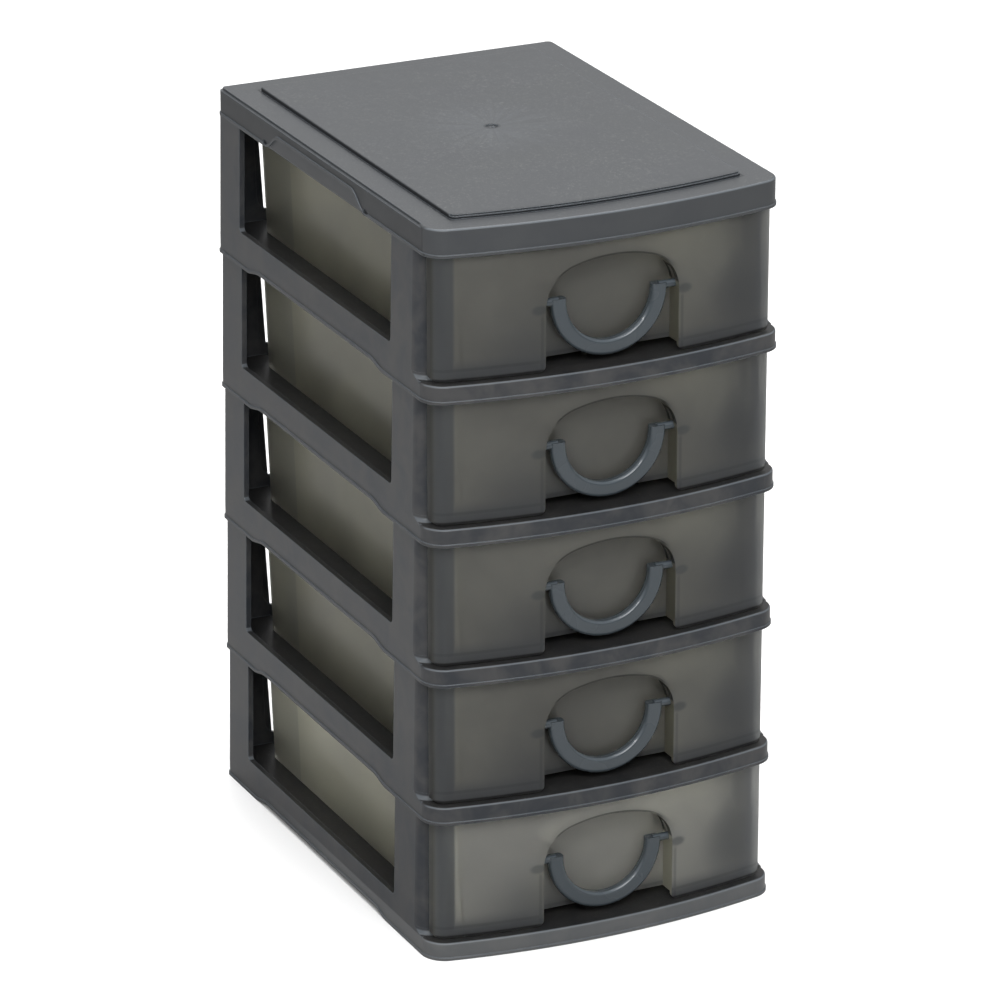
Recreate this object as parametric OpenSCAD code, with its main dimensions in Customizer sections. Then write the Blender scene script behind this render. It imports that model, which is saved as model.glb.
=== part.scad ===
// Desktop drawer tower: five stacking tiers with bowed fronts, a lid, and translucent drawers
// with a recessed bail handle. Millimetres. +X right, +Y back, +Z up; the origin is on the
// surface the tower stands on, under the middle of its bounding box.

/* [Tower] */
// Width over the bead at the foot of a tier
tower_w = 180; // [170:1:200]
// Depth along the side walls, from the front corner line to the back
side_d = 241.5; // [225:0.5:270]
// How far the front bows out in front of its corner line
front_bow = 10.5; // [8:0.5:13]
// Height of one tier, foot to foot
pitch = 68.8; // [66:0.2:76]
// Plan radius of the front corners
corner_r = 12; // [10:0.5:13]
// Plan radius of the back corners
back_r = 5; // [4.5:0.5:7]

/* [Tier] */
// Height of the front band
band_h = 8.7; // [8:0.1:10]
// Radius along the top edge of the band
band_edge_r = 1.2; // [0.8:0.1:1.3]
// Height of the bead round the foot
bead_h = 1.4; // [1:0.1:2]
// How far the bead stands out
bead_t = 0.5; // [0.3:0.1:0.7]
// Wall of the band, skirt, posts and rails
wall_t = 2.4; // [2.2:0.1:2.6]
// Thickness of the shelf and its ledges
plate_t = 2; // [1.6:0.1:2.2]
// Height of the side rail's top edge
rail_h = 17.2; // [16.5:0.1:19]
// Height of the ledges that carry the drawer
ledge_h = 12.6; // [12.2:0.1:12.9]
// Width of each ledge, in from the outer face
ledge_w = 24; // [21:0.5:28]
// How much the posts lean in over the height of a tier
post_draft = 1; // [0.8:0.1:1.2]
// Depth of the front posts, along the side
front_post_d = 30.7; // [26:0.1:34]
// Depth of the back posts, along the side
back_post_d = 27.3; // [22:0.1:32]
// Plan radius of the front posts' leading edge
post_r = 8; // [6:0.5:9]
// Extra wall of the posts and rails over the skirt they stand on
post_extra = 0.3; // [0.2:0.1:0.5]
// Radius of the blend from that edge into the band
post_foot_r = 3; // [2:0.5:3]
// Gap from the front corner line to the posts' leading edge
post_setback = 10.6; // [10:0.1:13]
// Width of the front posts' inner flange
front_flange = 12; // [11:0.1:12.3]
// Width of the back posts' inner flange, at the top
back_flange = 18; // [16:0.5:20]
// Extra width of the back flange at its foot
back_flange_flare = 2.2; // [1:0.1:3]
// Corner radius of the side windows
window_r = 2.5; // [1.5:0.5:4]
// Radius at the foot of the back opening
back_fillet_r = 8; // [5:0.5:12]
// How far the windows reach up behind the skirt above
window_past = 1.7; // [1.4:0.1:2.4]
// Height of the notch under the side skirts
notch_h = 2.5; // [2:0.1:3.2]
// Length of each curved end of the notch
notch_run = 15; // [10:1:20]
// Length of the notch along the side
notch_l = 156; // [140:1:160]
// Distance of the notches' middle in front of the windows' middle
notch_ahead = 1; // [0:0.5:4]
// How far the posts stand into the tier above
nest_h = 10.6; // [9.8:0.1:10.6]
// Gap between the nested front posts and the shelf above them
nest_top_gap = 0.3; // [0.2:0.1:0.6]
// Side clearance of the nested part
nest_gap = 0.2; // [0.15:0.05:0.3]
// Wall of the nested part
nest_t = 1.4; // [1.2:0.1:1.5]
// Height of the ribs under the shelf
rib_h = 3; // [2:0.1:3.5]
// Thickness of the ribs
rib_t = 1.6; // [1.2:0.1:2]
// Number of cross ribs under the shelf
rib_count = 5; // [3:1:7]
// Distance of the first and last rib from the posts and the back wall
rib_inset = 18; // [12:1:30]
// Length of the hooks that catch the tier above
hook_l = 4; // [3:0.5:6]
// Thickness of the hooks
hook_t = 1.2; // [1:0.1:1.4]
// How far the hooks reach under the skirt above
hook_catch = 0.7; // [0.5:0.1:0.8]
// Gap between the hooks and the edge that they catch
hook_gap = 0.1; // [0.05:0.05:0.2]
// Distance of the hooks from the notch's curved ends
hook_inset = 6; // [4:0.5:12]

/* [Lid] */
// How far the lid stands in from the foot of the tiers
lid_inset = 1.2; // [0.8:0.1:1.2]
// Height of the lid
lid_h = 13.5; // [13.3:0.1:16]
// Thickness of the lid's top
lid_t = 2.2; // [1.8:0.1:2.4]
// Radius round the lid's top edge
lid_edge_r = 1.3; // [1:0.1:1.3]
// Height of the raised panel
panel_h = 2; // [1.5:0.1:2.5]
// Margin of the panel at the sides
panel_side = 17; // [15:0.5:24]
// Margin of the panel at the front
panel_front = 14.6; // [13:0.1:24]
// Margin of the panel at the back
panel_back = 16; // [10:0.1:20]
// Plan radius of the panel's corners
panel_r = 3; // [2:0.5:6]
// Radius round the panel's top edge
panel_edge_r = 0.8; // [0.5:0.1:1.2]
// Radius of the filling point in the middle
gate_r = 3; // [2:0.5:4]
// Depth of the filling point
gate_d = 0.5; // [0.3:0.1:0.8]
// Distance of the filling point in front of the notches' middle
gate_ahead = 5; // [0:0.5:10]
// Height of the shallow recess in the lid's sides
grip_h = 7.5; // [6:0.1:8.5]
// Depth of that recess
grip_t = 0.4; // [0.3:0.1:0.5]
// Length of the lid's side recess
grip_l = 112; // [90:1:140]
// Play of the hooks in the lid's slots
hook_play = 0.3; // [0.2:0.1:0.5]

/* [Drawer] */
// Gap between the band's face and the drawer front
front_inset = 4.6; // [4:0.1:5.2]
// Gap between the side of the tower and the edge of the drawer front
side_inset = 3.5; // [3.2:0.1:4.2]
// Plan radius of the drawer front's corners
drawer_corner_r = 9; // [7:0.5:10]
// Thickness of the drawer front
front_t = 2; // [1.8:0.1:2.4]
// Wall of the drawer's tub
tub_t = 1.8; // [1.5:0.1:2]
// Thickness of the drawer's floor
floor_t = 1.6; // [1.4:0.1:2]
// Gap above the band and below the tier above
front_gap = 0.6; // [0.4:0.1:0.8]
// Running gap between the drawer and its ledges
ride_gap = 0.3; // [0.3:0.05:0.5]
// Gap between the front's side returns and the front posts
return_gap = 1.7; // [1.5:0.1:2.2]
// Gap between the drawer's rim and the front posts
rim_gap = 1.2; // [0.8:0.1:1.6]
// How far the drawer's rim stands out from its wall
rim_w = 1.5; // [1:0.1:2]
// Thickness of the rim
rim_t = 1.6; // [1.2:0.1:2]
// How far the rim lies below the top of the front
rim_drop = 0.7; // [0.5:0.1:1.2]
// Width of the lip inside the top of the drawer front
front_lip = 2; // [1:0.1:3]
// How much the drawer's walls lean out from floor to rim
tub_draft = 2.2; // [1.5:0.1:2.5]
// Gap behind the drawer
back_gap = 12; // [8:0.5:20]
// Plan radius of the drawer's back corners
tub_r = 6; // [4:0.5:9]
// Radius of the drawer front's lower corners
front_foot_r = 4; // [2:0.5:6]

/* [Handle] */
// Width of the handle recess
recess_w = 67; // [65:1:72]
// Height of the top of the recess above the tier's foot
recess_top = 60.6; // [59:0.1:62]
// Rise of the recess's arch over its straight sides
arch_rise = 22; // [21:0.5:24]
// Shoulder radius of that arch
arch_r = 20; // [15:0.5:20]
// Radius of the front's lower corners beside the recess
recess_foot_r = 3; // [2:0.5:3.5]
// Height of the pivot above the tier's foot
pivot_h = 40.4; // [39:0.1:42]
// Depth of the recess at its middle
recess_d = 10.7; // [10:0.1:13]
// Outer radius of the bail
bail_r = 29.1; // [27.5:0.1:30]
// Width of the bail's bar, seen from the front
bail_w = 7.5; // [6:0.1:8]
// Depth of the bail's bar
bail_t = 5.2; // [4.5:0.1:6]
// Edge radius of the bail's bar
bail_edge_r = 1.8; // [1:0.1:2.2]
// How far the bail's ends stand above the pivot
bail_end = 1.2; // [1:0.1:2]
// Radius of the handle's pins
pin_r = 1.9; // [1.6:0.05:2.1]
// Running clearance round the pins
pin_clear = 0.05; // [0.02:0.01:0.1]
// How far the pins run past the recess's walls
pin_past = 6; // [3:0.5:8]
// Gap between the pins' ends and the inside of the drawer front
pin_free = 0.4; // [0.3:0.1:1]
// How much narrower than the pins the slots are that they snap in through
slot_pinch = 0.5; // [0.3:0.1:0.8]
// Height of those slots above the pivot
slot_h = 8.5; // [6:0.5:10]
// How far those slots cut into the arch, seen from the front
slot_in = 5; // [3:0.5:6]

/* [Hidden] */
tiers = 5;
frame_col = [0.33, 0.34, 0.36];
drawer_col = [0.45, 0.45, 0.41, 0.6];
bail_col = [0.33, 0.37, 0.40];
eps = 0.5;        // overlap that fuses pieces of one moulding
big = 400;        // longer than any cut needs

half_w = tower_w / 2;
y_back = (side_d + front_bow) / 2;
y_apex = -y_back;
y_corner = y_back - side_d;
// every front surface is concentric with the bow of the bead
bow_r = half_w * half_w / (2 * front_bow) + front_bow / 2;
bow_y = y_apex + bow_r;

face_half = half_w - bead_t;
face_bow_r = bow_r - bead_t;
face_back = y_back - bead_t;
post_y = y_corner + post_setback;
window_y0 = y_corner + post_setback + front_post_d;
window_y1 = y_back - back_post_d;
window_top = pitch + notch_h + window_past;
ledge_in = half_w - ledge_w;
ledge_y = post_y - 2 * eps;
plate_low = band_h - plate_t;
nest_in = wall_t + post_extra + nest_gap;
nest_half = face_half - nest_in;
notch_y = (window_y0 + window_y1) / 2 - notch_ahead;
hook_z1 = pitch + notch_h - hook_gap;
hook_z0 = hook_z1 - hook_t;
hook_y = notch_l / 2 - notch_run - hook_inset;
hook_half = face_half - wall_t + hook_catch;
bay_half = face_half - front_flange;
lid_z = tiers * pitch;

drawer_half = half_w - side_inset;
drawer_bow_r = bow_r - front_inset;
drawer_z0 = band_h + front_gap;
drawer_z1 = pitch - front_gap;
return_y = post_y - return_gap;
tub_z0 = ledge_h + ride_gap;
tub_z1 = drawer_z1 - rim_drop;
rim_half = bay_half - rim_gap;
tub_half = rim_half - rim_w - tub_draft;
tub_back = y_back - bead_t - wall_t - back_gap;

recess_half = recess_w / 2;
front_mid_y = y_apex + front_inset;
recess_back = front_mid_y + recess_d;
spring_h = recess_top - arch_rise;
// the pins just clear the bowed inside of the drawer front
pin_reach = recess_half + tub_t + pin_past;
pivot_line = bow_y - sqrt(pow(drawer_bow_r - front_t, 2) - pin_reach * pin_reach) + pin_free + pin_r;

// ---------------------------------------------------------------- plan outlines

function corner_y(half, big_r, r) = bow_y - sqrt(pow(big_r - r, 2) - pow(half - r, 2));

// Bowed front with rounded corners, running back to y_end with square ends
module cap(half, big_r, r, y_end) {
    cy = corner_y(half, big_r, r);
    intersection() {
        translate([0, bow_y])
            circle(r = big_r, $fn = 720);
        polygon([[-(half - r), cy], [half - r, cy],
                 [1.1 * (half - r), bow_y - 1.1 * (bow_y - cy)],
                 [-1.1 * (half - r), bow_y - 1.1 * (bow_y - cy)]]);
    }
    for (s = [-1, 1])
        translate([s * (half - r), cy])
            circle(r = r, $fn = 64);
    translate([-half, cy])
        square([2 * half, y_end - cy]);
}

// The whole plan outline: bowed front, rounded back corners
module bowed(half, big_r, r, y_end, r_end) {
    cap(half, big_r, r, y_end - r_end);
    translate([-(half - r_end), y_end - r_end - eps])
        square([2 * (half - r_end), r_end + eps]);
    for (s = [-1, 1])
        translate([s * (half - r_end), y_end - r_end])
            circle(r = r_end, $fn = 48);
}

// The tower's outline, moved in by e
module outline(e) {
    bowed(half_w - e, bow_r - e, corner_r - e, y_back - e, back_r - e);
}

// A rectangle with rounded corners that leans in by lean from z0 to z1, from exact slabs and
// cones; r_front and r_back are its plan radii at z0
module leaning_block(half, y0, y1, r_front, r_back, z0, z1, lean) {
    h = z1 - z0;
    translate([0, y1 - r_back, 0])
        rotate([90, 0, 0])
            linear_extrude(y1 - r_back - y0 - r_front)
                polygon([[-half, z0], [half, z0], [half - lean, z1], [-half + lean, z1]]);
    for (s = [-1, 1]) {
        translate([s * (half - r_back), y1 - r_back, z0])
            cylinder(h = h, r1 = r_back, r2 = r_back - lean, $fn = 48);
        translate([s * (half - r_front), y0 + r_front, z0])
            cylinder(h = h, r1 = r_front, r2 = r_front - lean, $fn = 64);
    }
    translate([-(half - r_back), 0, 0])
        rotate([90, 0, 90])
            linear_extrude(2 * (half - r_back))
                polygon([[y1 - r_back - eps, z0], [y1, z0], [y1 - lean, z1], [y1 - r_back - eps, z1]]);
    translate([-(half - r_front), 0, 0])
        rotate([90, 0, 90])
            linear_extrude(2 * (half - r_front))
                polygon([[y0, z0], [y0 + r_front + eps, z0], [y0 + r_front + eps, z1], [y0 + lean, z1]]);
}

// A rectangle with four round corners, centred on x, from y = 0 up
module round_rect(w, h, r) {
    translate([-w / 2 + r, 0])
        square([w - 2 * r, h]);
    translate([-w / 2, r])
        square([w, h - 2 * r]);
    for (x = [-w / 2 + r, w / 2 - r], y = [r, h - r])
        translate([x, y])
            circle(r = r, $fn = 32);
}

// Three-centred arch over a straight-sided opening that runs down to z_low
module arch(half, rise, r, z_spring, z_low) {
    r_top = (pow(half - r, 2) + rise * rise - r * r) / (2 * (rise - r));
    drop = r_top - rise;
    intersection() {
        translate([0, z_spring - drop])
            circle(r = r_top, $fn = 180);
        polygon([[-(half - r), z_spring], [half - r, z_spring],
                 [3 * (half - r), z_spring + 2 * drop], [-3 * (half - r), z_spring + 2 * drop]]);
    }
    for (s = [-1, 1])
        translate([s * (half - r), z_spring])
            circle(r = r, $fn = 64);
    translate([-half, z_low])
        square([2 * half, z_spring - z_low]);
}

// ---------------------------------------------------------------- tier frame

// Side view of a shallow notch with S-curved ends, h high and l long, lifted by z
function notch_path(l, run, h, z) =
    concat([for (i = [0 : 10]) [notch_y - l / 2 + run * i / 10, z + h * (1 - cos(18 * i)) / 2]],
           [for (i = [0 : 10]) [notch_y + l / 2 - run * (1 - i / 10), z + h * (1 + cos(18 * i)) / 2]]);

function reversed(list) = [for (i = [len(list) - 1 : -1 : 0]) list[i]];

// Extrudes a side view, drawn as [y, z], over x0 to x1 on both sides
module both_sides(x0, x1) {
    for (s = [0, 1])
        mirror([s, 0, 0])
            translate([x0, 0, 0])
                rotate([90, 0, 90])
                    linear_extrude(x1 - x0)
                        children();
}

// A box from [x0, y0, z0] to [x1, y1, z1] and its mirror image
module side_boxes(x0, x1, y0, y1, z0, z1) {
    both_sides(x0, x1)
        translate([y0, z0])
            square([y1 - y0, z1 - z0]);
}

module notch_cut(l, run, h, x0) {
    both_sides(x0, tower_w)
        polygon(concat([[notch_y - l / 2, -5]], notch_path(l, run, h, 0), [[notch_y + l / 2, -5]]));
}

// Bead that follows the edge of a notch along both sides
module notch_bead(l, run, h) {
    both_sides(half_w - bead_t - wall_t / 2, half_w)
        polygon(concat(notch_path(l, run, h, 0), reversed(notch_path(l, run, h, bead_h))));
}

// Band, skirts and bead, closed on top and open underneath; the band's top edge is rounded
// and the sides stay square where the posts and rails stand on them
module skirt() {
    difference() {
        union() {
            linear_extrude(bead_h)
                outline(0);
            soft_plate(face_half, face_bow_r, corner_r - bead_t, face_back, back_r - bead_t,
                       band_h, band_edge_r);
            leaning_block(face_half, post_y, face_back, post_r, back_r - bead_t,
                          plate_low, band_h, 0);
        }
        translate([0, 0, -eps])
            linear_extrude(plate_low + eps)
                outline(bead_t + wall_t);
    }
}

// Concave blend from the front posts' leading edge into the band
module post_feet() {
    side = face_half - post_r;
    intersection() {
        linear_extrude(big)
            outline(bead_t);
        for (s = [0, 1])
            mirror([s, 0, 0]) {
                translate([bay_half, post_y, 0])
                    rotate([90, 0, 90])
                        linear_extrude(side - bay_half)
                            mirror([1, 0])
                                foot_profile();
                translate([side, post_y + post_r, 0])
                    rotate([0, 0, -90])
                        rotate_extrude(angle = 90, $fn = 64)
                            translate([post_r, 0])
                                foot_profile();
            }
    }
}

// Section of that blend: it stands on the band and leans on a post at x = 0
module foot_profile() {
    difference() {
        translate([-wall_t / 2, plate_low + eps])
            square([post_foot_r + wall_t / 2, band_h - plate_low - eps + post_foot_r]);
        translate([post_foot_r, band_h + post_foot_r])
            circle(r = post_foot_r, $fn = 48);
    }
}

// Closed outline of the posts and rails, moved in by e; it leans in towards the top
module post_block(e, z0, z1) {
    k = post_draft / (pitch - band_h);
    in = e + k * (z0 - band_h);
    leaning_block(face_half - in, post_y + in, face_back - in, post_r - in,
                  back_r - bead_t - in, z0, z1, k * (z1 - z0));
}

// The upright outline that stands in the tier above, moved in by e
module nest_block(e, z0, z1) {
    in = nest_in + e;
    leaning_block(face_half - in, post_y + in, face_back - in, post_r - in,
                  back_r - bead_t - in, z0, z1, 0);
}

// Posts, rails and back sill: one wall with a window each side, open in front and behind
module posts() {
    difference() {
        union() {
            post_block(0, band_h, pitch);
            nest_block(0, pitch - eps, pitch + nest_h);
        }
        post_block(wall_t + post_extra, band_h - eps, pitch);
        nest_block(nest_t, pitch - 2 * eps, pitch + nest_h + eps);
        // the bay that the drawer slides through
        translate([-bay_half, post_y - eps, band_h - 2 * eps])
            cube([2 * bay_half, 2 * post_r, big]);
        // the nested part stops under the shelf above, in front
        translate([-half_w, post_y - eps, pitch + plate_low - nest_top_gap])
            cube([tower_w, post_r, big]);
        both_sides(half_w / 2, tower_w)
            translate([(window_y0 + window_y1) / 2, rail_h])
                round_rect(window_y1 - window_y0, window_top - rail_h, window_r);
        back_opening();
    }
}

module back_opening() {
    low = half_w - back_flange - back_flange_flare;
    top = half_w - back_flange;
    translate([0, y_back + eps, 0])
        rotate([90, 0, 0])
            linear_extrude(back_r + wall_t + nest_in + 2 * eps) {
                polygon([[-low, rail_h + back_fillet_r], [low, rail_h + back_fillet_r],
                         [top, pitch + nest_h + eps], [-top, pitch + nest_h + eps]]);
                translate([-(low - back_fillet_r), rail_h])
                    square([2 * (low - back_fillet_r), back_fillet_r + eps]);
                for (s = [-1, 1])
                    translate([s * (low - back_fillet_r), rail_h + back_fillet_r])
                        circle(r = back_fillet_r, $fn = 64);
            }
}

// Raised ledges that carry the drawer, with their inner and front walls
module ledges() {
    intersection() {
        post_block(bead_t, band_h, ledge_h);
        side_boxes(ledge_in, half_w, post_y, face_back, ledge_h - plate_t, ledge_h);
    }
    side_boxes(ledge_in, ledge_in + plate_t, ledge_y, face_back - wall_t / 2, plate_low, ledge_h);
    side_boxes(ledge_in, bay_half + eps, ledge_y, post_y + eps, plate_low, ledge_h);
    side_boxes(ledge_in, bay_half + eps, ledge_y, post_y + wall_t, ledge_h - plate_t, ledge_h);
}

// The shelf is open under its ledges, so the tier below can stand in there
module under_ledges() {
    intersection() {
        translate([0, 0, plate_low - eps])
            linear_extrude(plate_t + 2 * eps)
                outline(bead_t + wall_t);
        side_boxes(ledge_in + plate_t, half_w, post_y + eps, y_back, 0, band_h + eps);
    }
}

// Ribs under the shelf, across and lengthways
module ribs(z, h) {
    y0 = post_y + rib_inset;
    y1 = face_back - wall_t - rib_inset;
    for (i = [0 : rib_count - 1])
        translate([-ledge_in - eps, y0 + i * (y1 - y0) / (rib_count - 1) - rib_t / 2, z - h])
            cube([2 * ledge_in + 2 * eps, rib_t, h + eps]);
    for (x = [-ledge_in / 2, ledge_in / 2])
        translate([x - rib_t / 2, y0, z - h])
            cube([rib_t, y1 - y0, h + eps]);
}

// Hooks that hang from the upper rails and catch under the edge of the notch above
module hooks() {
    for (y = [notch_y - hook_y, notch_y + hook_y]) {
        side_boxes(nest_half - nest_t, nest_half, y - hook_l / 2, y + hook_l / 2, hook_z0, window_top + eps);
        side_boxes(nest_half - nest_t, hook_half, y - hook_l / 2, y + hook_l / 2, hook_z0, hook_z1);
    }
}

module tier(level) {
    translate([0, 0, level * pitch])
        color(frame_col) {
            difference() {
                skirt();
                under_ledges();
                notch_cut(notch_l, notch_run, notch_h, half_w / 2);
            }
            notch_bead(notch_l, notch_run, notch_h);
            posts();
            post_feet();
            ledges();
            ribs(plate_low, rib_h);
            hooks();
        }
}

module tier_1() { tier(0); }
module tier_2() { tier(1); }
module tier_3() { tier(2); }
module tier_4() { tier(3); }
module tier_5() { tier(4); }

// ---------------------------------------------------------------- lid

// Bowed plate of height h whose top edge is rounded all the way round, from exact tubes
module soft_plate(half, big_r, r, y_end, r_end, h, edge) {
    cy = corner_y(half, big_r, r);
    sweep = asin((half - r) / (big_r - r));
    linear_extrude(h - edge)
        bowed(half, big_r, r, y_end, r_end);
    linear_extrude(h)
        bowed(half - edge, big_r - edge, r - edge, y_end - edge, r_end - edge);
    translate([0, 0, h - edge]) {
        translate([0, bow_y, 0])
            rotate([0, 0, 270 - sweep])
                rotate_extrude(angle = 2 * sweep, $fn = 720)
                    translate([big_r - edge, 0])
                        circle(r = edge, $fn = 24);
        for (s = [-1, 1]) {
            translate([s * (half - r), cy, 0])
                rotate_extrude($fn = 64)
                    translate([r - edge, 0])
                        circle(r = edge, $fn = 24);
            translate([s * (half - r_end), y_end - r_end, 0])
                rotate_extrude($fn = 48)
                    translate([r_end - edge, 0])
                        circle(r = edge, $fn = 24);
            translate([s * (half - edge), cy, 0])
                rotate([-90, 0, 0])
                    cylinder(h = y_end - r_end - cy, r = edge, $fn = 24);
        }
        translate([-(half - r_end), y_end - edge, 0])
            rotate([0, 90, 0])
                cylinder(h = 2 * (half - r_end), r = edge, $fn = 24);
    }
}

// The lid's outline, moved in by e from its foot
module lid_outline(e) {
    outline(lid_inset + e);
}

// Top, walls and raised panel; its inside fits over the nested part like the inside of a tier
module lid_shell() {
    in = lid_inset + bead_t;
    difference() {
        union() {
            linear_extrude(bead_h)
                lid_outline(0);
            soft_plate(half_w - in, bow_r - in, corner_r - in, y_back - in,
                       back_r - in, lid_h, lid_edge_r);
            translate([0, 0, lid_h - lid_t / 2])
                soft_plate(half_w - panel_side, bow_r - panel_front, panel_r,
                           y_back - panel_back, panel_r, panel_h + lid_t / 2, panel_edge_r);
        }
        translate([0, 0, -eps])
            linear_extrude(lid_h - lid_t + eps)
                outline(bead_t + wall_t);
        // shallow recess in each side
        notch_cut(grip_l, notch_run, grip_h, half_w - in - grip_t);
        // the point where the moulding was filled
        translate([0, notch_y - gate_ahead, lid_h + panel_h - gate_d])
            cylinder(h = big, r = gate_r, $fn = 32);
    }
}

// Bead over the recess; it ends where the bead of the foot begins
module grip_bead() {
    both_sides(half_w - lid_inset - bead_t - grip_t, half_w - lid_inset)
        polygon(concat(notch_path(grip_l, notch_run, grip_h, 0),
                       reversed(notch_path(grip_l, notch_run, grip_h, bead_h))));
}

// Slots in the lid's walls for the hooks of the tier below
module hook_slots() {
    for (y = [notch_y - hook_y, notch_y + hook_y])
        side_boxes(nest_half, tower_w, y - hook_l / 2 - hook_play, y + hook_l / 2 + hook_play,
                   hook_z0 - pitch - hook_play, hook_z1 - pitch + hook_play);
}

module lid() {
    translate([0, 0, lid_z])
        color(frame_col)
            difference() {
                union() {
                    lid_shell();
                    grip_bead();
                    ribs(lid_h - lid_t, rib_h);
                }
                hook_slots();
            }
}

// ---------------------------------------------------------------- drawer

// The drawer front's plan, moved in by e and cut off square at y_end
module front_plan(e, y_end) {
    intersection() {
        cap(drawer_half - e, drawer_bow_r - e, drawer_corner_r - e, y_end);
        translate([-half_w, -big])
            square([tower_w, big + y_end]);
    }
}

// Front shell with its returns; the lower corners are rounded as seen from the front
module front_shell() {
    intersection() {
        difference() {
            translate([0, 0, drawer_z0])
                linear_extrude(drawer_z1 - drawer_z0)
                    front_plan(0, return_y);
            translate([0, 0, drawer_z0 - eps])
                linear_extrude(drawer_z1 - rim_t - drawer_z0 + eps)
                    front_plan(front_t, y_back);
            translate([0, 0, drawer_z0])
                linear_extrude(big)
                    front_plan(front_t + front_lip, y_back);
        }
        translate([0, y_back, drawer_z0])
            rotate([90, 0, 0])
                linear_extrude(2 * y_back) {
                    translate([-drawer_half, front_foot_r])
                        square([2 * drawer_half, big]);
                    translate([-drawer_half + front_foot_r, 0])
                        square([2 * (drawer_half - front_foot_r), front_foot_r + eps]);
                    for (s = [-1, 1])
                        translate([s * (drawer_half - front_foot_r), front_foot_r])
                            circle(r = front_foot_r, $fn = 48);
                }
    }
}

// The tub's outline, moved in by e; it widens from floor to rim
module tub_block(e, z0, z1) {
    k = tub_draft / (tub_z1 - tub_z0);
    lean = k * (z1 - z0);
    grow = k * (z0 - tub_z0) - e;
    leaning_block(tub_half + grow, y_apex - e, tub_back - tub_draft + grow,
                  tub_r + grow, tub_r + grow, z0, z1, -lean);
}

module tub() {
    difference() {
        union() {
            intersection() {
                union() {
                    tub_block(0, tub_z0, tub_z1);
                    translate([0, 0, tub_z1 - rim_t])
                        linear_extrude(rim_t)
                            rim_plan();
                }
                translate([0, 0, tub_z0])
                    linear_extrude(tub_z1 - tub_z0)
                        front_plan(front_t / 2, y_back);
            }
            front_shell();
        }
        intersection() {
            tub_block(tub_t, tub_z0 + floor_t, tub_z1 + eps);
            translate([0, 0, tub_z0])
                linear_extrude(drawer_z1 - rim_t - tub_z0)
                    front_plan(front_t, y_back);
        }
        translate([0, 0, tub_z1 - rim_t])
            linear_extrude(big)
                intersection() {
                    front_plan(front_t + front_lip, y_back);
                    translate([-tub_half - tub_draft + tub_t, y_apex])
                        square([2 * (tub_half + tub_draft - tub_t), -y_apex]);
                }
    }
}

module rim_plan() {
    translate([-rim_half, post_y - eps])
        square([2 * rim_half, tub_back + rim_w - tub_r - post_y + eps]);
    translate([-rim_half + tub_r, post_y - eps])
        square([2 * (rim_half - tub_r), tub_back + rim_w - post_y + eps]);
    for (s = [-1, 1])
        translate([s * (rim_half - tub_r), tub_back + rim_w - tub_r])
            circle(r = tub_r, $fn = 48);
}

module across_recess(e, y_end, z_low) {
    translate([0, y_end, 0])
        rotate([90, 0, 0])
            linear_extrude(y_end + big)
                arch(recess_half + e, arch_rise + e, arch_r + e, spring_h, z_low);
}

// Rounds the front's lower corners beside the recess
module recess_feet() {
    translate([0, post_y, drawer_z0])
        rotate([90, 0, 0])
            linear_extrude(big)
                for (s = [0, 1])
                    mirror([s, 0])
                        difference() {
                            translate([recess_half - eps, -eps])
                                square([recess_foot_r + eps, recess_foot_r + eps]);
                            translate([recess_half + recess_foot_r, recess_foot_r])
                                circle(r = recess_foot_r, $fn = 48);
                        }
}

// Slots up the sides of the arch, through which the pins snap into their bores
module pin_slots() {
    translate([0, pivot_line, pivot_h])
        side_boxes(recess_half - slot_in, recess_half + tub_t + 2 * eps,
                   slot_pinch - pin_r, pin_r - slot_pinch, 0, slot_h);
}

module drawer(level) {
    translate([0, 0, level * pitch])
        color(drawer_col)
            difference() {
                union() {
                    tub();
                    intersection() {
                        across_recess(tub_t, recess_back + tub_t, tub_z0);
                        translate([0, 0, drawer_z0])
                            linear_extrude(big)
                                front_plan(front_t / 2, y_back);
                    }
                }
                across_recess(0, recess_back, 0);
                recess_feet();
                pin_slots();
                // bores for the handle's pins
                translate([0, pivot_line, pivot_h])
                    rotate([0, 90, 0])
                        cylinder(h = 2 * (recess_half + tub_t + eps), r = pin_r + pin_clear,
                                 center = true, $fn = 48);
            }
}

module drawer_1() { drawer(0); }
module drawer_2() { drawer(1); }
module drawer_3() { drawer(2); }
module drawer_4() { drawer(3); }
module drawer_5() { drawer(4); }

// ---------------------------------------------------------------- handle

module bail_section() {
    translate([0, -bail_t / 2])
        round_rect(bail_w, bail_t, bail_edge_r);
}

// Half ring that hangs from the pivot, with short upright ends and two pins
module handle(level) {
    mid_r = bail_r - bail_w / 2;
    translate([0, pivot_line, level * pitch + pivot_h])
        color(bail_col) {
            rotate([90, 0, 0])
                rotate([0, 0, 180])
                    rotate_extrude(angle = 180, $fn = 96)
                        translate([mid_r, 0])
                            bail_section();
            for (s = [-1, 1]) {
                translate([s * mid_r, 0, 0])
                    linear_extrude(bail_end)
                        bail_section();
                translate([s * mid_r, 0, 0])
                    rotate([0, s * 90, 0])
                        cylinder(h = pin_reach - mid_r, r = pin_r, $fn = 48);
            }
        }
}

module handle_1() { handle(0); }
module handle_2() { handle(1); }
module handle_3() { handle(2); }
module handle_4() { handle(3); }
module handle_5() { handle(4); }

lid();
tier_1();
tier_2();
tier_3();
tier_4();
tier_5();
drawer_1();
drawer_2();
drawer_3();
drawer_4();
drawer_5();
handle_1();
handle_2();
handle_3();
handle_4();
handle_5();
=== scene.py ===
"""Looks of a five-drawer desktop tower: finishes, small moulded marks, floor, light and camera."""

import logging
import math
from dataclasses import dataclass
from enum import Enum

import bpy
from mathutils import Matrix, Vector


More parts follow.
